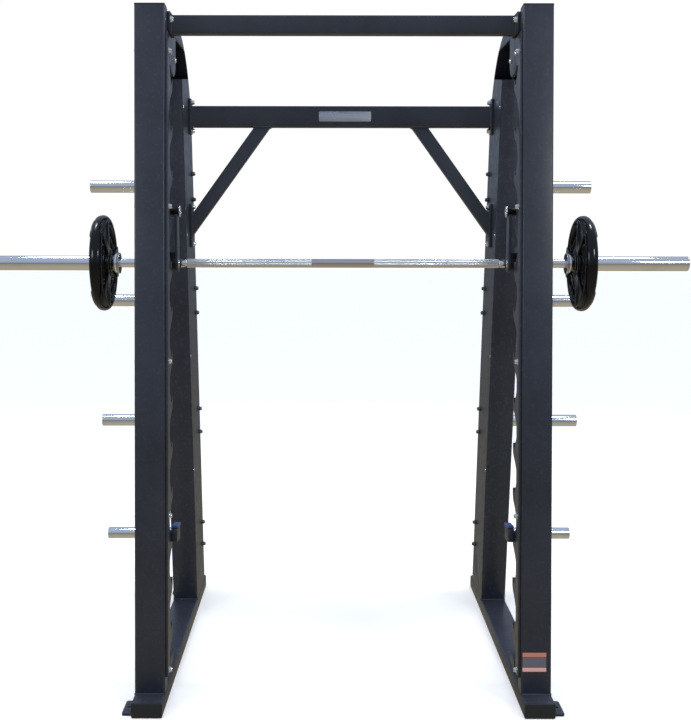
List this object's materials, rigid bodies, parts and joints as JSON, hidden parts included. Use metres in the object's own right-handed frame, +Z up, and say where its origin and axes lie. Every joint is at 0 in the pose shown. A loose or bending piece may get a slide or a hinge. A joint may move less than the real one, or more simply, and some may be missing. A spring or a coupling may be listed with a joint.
{
  "type": "smith machine",
  "caption": "Commercial smith machine: a twisting latch bar on leaning guide rods between two side frames, with hook plates, plate pegs, safety stops and a counterbalance in the rear towers.",
  "frame": {"origin": "on the floor at the middle of the base, midway between the side frames", "axes": "+X to the user's right along the bar, +Y from the user's front to the rear towers, +Z up"},
  "size_m": [2.356, 1.334, 2.3013],
  "materials": {
    "frame_black": "satin near-black powder coat",
    "chrome": "polished hard chrome plate",
    "black_oxide": "black-oxide steel",
    "end_cap_plastic": "moulded black plastic",
    "pulley_plastic": "glass-filled black nylon",
    "plate_rubber": "smooth moulded black rubber",
    "plate_iron": "cast iron, painted dark grey",
    "housing_aluminium": "black-anodised aluminium",
    "brushed_plate": "brushed silver plate, blank",
    "bearing_steel": "ground bearing steel",
    "cable_steel": "stranded steel with a dark nylon coat",
    "stop_pad_blue": "blue-violet polyurethane",
    "label_film": "blank printed film, orange bands round a pale grey field"
  },
  "bodies": {
    "frame": {"base_tubes": "frame_black", "base_end_caps": "end_cap_plastic", "floor_tabs": "frame_black", "posts": "frame_black", "post_caps": "end_cap_plastic", "tower_channels": "frame_black", "tower_front_panels": "frame_black", "panel_screws": "chrome", "hoods": "frame_black", "top_tubes": "frame_black", "front_crossbar": "frame_black", "rear_crossbar": "frame_black", "rear_braces": "frame_black", "crossbar_bolts": "chrome", "nameplate": "brushed_plate", "catch_plates": "frame_black", "catch_plate_bolts": "chrome", "guide_rods": "chrome", "rod_feet": "frame_black", "rod_bumpers": "plate_rubber", "rod_head_blocks": "frame_black", "rod_hangers": "frame_black", "hanger_bolts": "chrome", "storage_pegs": "chrome", "peg_flanges": "frame_black", "peg_bolts": "black_oxide", "pulley_hangers": "frame_black", "cable_front_runs": "cable_steel", "cable_rear_runs": "cable_steel", "cable_top_runs": "cable_steel", "counterweight_guides": "chrome", "label_sheet": "label_film"},
    "bar_carriage": {"carriage_housings": "housing_aluminium", "bar_bushes": "bearing_steel", "linear_bushes": "bearing_steel", "cable_lugs": "bearing_steel"},
    "bar": {"bar_shaft": "chrome", "latch_levers": "frame_black", "latch_pins": "black_oxide", "latch_discs": "chrome", "latch_collars": "black_oxide", "collar_screws": "chrome"},
    "left_sleeve": {"left_sleeve": "chrome", "left_sleeve_bushes": "bearing_steel", "left_sleeve_cap": "chrome"},
    "right_sleeve": {"right_sleeve": "chrome", "right_sleeve_bushes": "bearing_steel", "right_sleeve_cap": "chrome"},
    "left_weight": {"left_weight_rubber": "plate_rubber", "left_weight_core": "plate_iron"},
    "right_weight": {"right_weight_rubber": "plate_rubber", "right_weight_core": "plate_iron"},
    "left_stop": {"left_stop_body": "frame_black", "left_stop_pad": "stop_pad_blue"},
    "right_stop": {"right_stop_body": "frame_black", "right_stop_pad": "stop_pad_blue"},
    "front_pulleys": {"front_pulleys": "pulley_plastic"},
    "rear_pulleys": {"rear_pulleys": "pulley_plastic"},
    "counterweights": {"counterweights": "plate_iron", "cable_clamps": "bearing_steel"}
  },
  "joints": [
    {"name": "bar_travel", "type": "slide", "parent": "frame", "child": "bar_carriage", "axis": [0, 0.1018, 0.9948], "range_m": [-0.7625, 0.4575], "deforming": ["cable_front_runs"]},
    {"name": "bar_twist", "type": "hinge", "parent": "bar_carriage", "child": "bar", "pos_m": [0, -0.28762, 1.45342], "axis": [1, 0, 0], "range_deg": [-16, 13.8]},
    {"name": "left_sleeve_spin", "type": "hinge", "parent": "bar", "child": "left_sleeve", "pos_m": [0, -0.28762, 1.45342], "axis": [1, 0, 0], "continuous": true},
    {"name": "right_sleeve_spin", "type": "hinge", "parent": "bar", "child": "right_sleeve", "pos_m": [0, -0.28762, 1.45342], "axis": [1, 0, 0], "continuous": true},
    {"name": "left_weight_slide", "type": "slide", "parent": "left_sleeve", "child": "left_weight", "axis": [-1, 0, 0], "range_m": [0, 0.38]},
    {"name": "right_weight_slide", "type": "slide", "parent": "right_sleeve", "child": "right_weight", "axis": [1, 0, 0], "range_m": [0, 0.38]},
    {"name": "left_stop_lift", "type": "slide", "parent": "frame", "child": "left_stop", "axis": [0, 0.1018, 0.9948], "range_m": [0, 0.02]},
    {"name": "right_stop_lift", "type": "slide", "parent": "frame", "child": "right_stop", "axis": [0, 0.1018, 0.9948], "range_m": [0, 0.02]},
    {"name": "counterweight_travel", "type": "slide", "parent": "frame", "child": "counterweights", "axis": [0, -0.1374, 0.9905], "range_m": [-0.4575, 0.7625], "deforming": ["cable_rear_runs"]},
    {"name": "front_pulley_spin", "type": "hinge", "parent": "frame", "child": "front_pulleys", "pos_m": [0, -0.07118, 2.174], "axis": [1, 0, 0], "range_deg": [-660, 1100]},
    {"name": "rear_pulley_spin", "type": "hinge", "parent": "frame", "child": "rear_pulleys", "pos_m": [0, 0.07026, 2.174], "axis": [1, 0, 0], "range_deg": [-660, 1100]}
  ],
  "couplings": [
    {"joint": "counterweight_travel", "follows": "bar_travel", "ratio": -1},
    {"joint": "front_pulley_spin", "follows": "bar_travel", "rad_per_m": -25},
    {"joint": "rear_pulley_spin", "follows": "bar_travel", "rad_per_m": -25}
  ]
}
